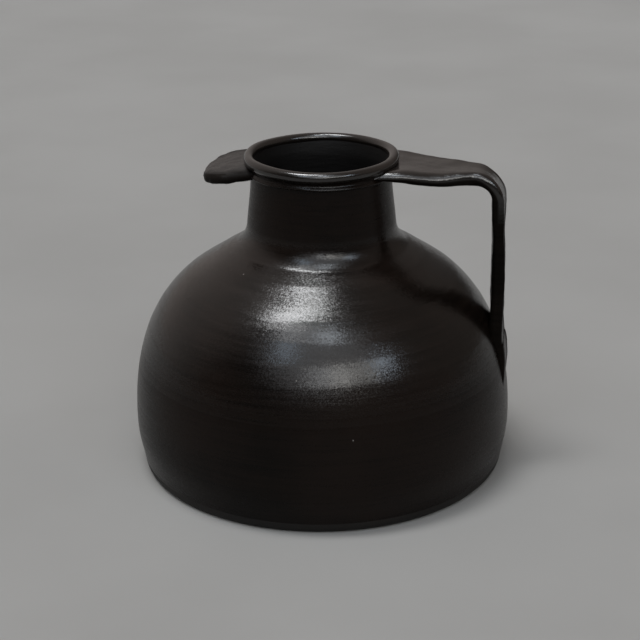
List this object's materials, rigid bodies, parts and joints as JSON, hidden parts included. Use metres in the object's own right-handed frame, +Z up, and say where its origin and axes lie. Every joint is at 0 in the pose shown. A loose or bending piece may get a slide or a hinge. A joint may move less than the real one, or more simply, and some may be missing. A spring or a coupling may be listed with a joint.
{
  "type": "one-handled clay jug",
  "caption": "Squat one-handled jug of burnished black clay: wide flat base, domed body, short neck with rolled rim, strap handle and an opposite grip lug.",
  "frame": {"origin": "centre of the flat base, on the surface that the jug stands on", "axes": "+Z up along the pot's turning axis; +X through the strap handle; the grip lug lies on -X"},
  "size_m": [0.325, 0.325, 0.2736],
  "materials": {
    "wall_clay": "burnished satin black clay",
    "base_clay": "unpolished black clay",
    "inner_clay": "unpolished black clay",
    "handled_clay": "burnished brown-black clay"
  },
  "bodies": {
    "root": {"floor_slab": "base_clay", "floor_fillet_coil": "inner_clay", "foot_course": "wall_clay", "belly_course": "wall_clay", "dome_course": "wall_clay", "shoulder_course": "wall_clay", "neck_course": "wall_clay", "neck_cordon": "wall_clay", "rim_coil": "handled_clay", "handle_strap": "handled_clay", "grip_lug": "handled_clay"}
  },
  "joints": []
}
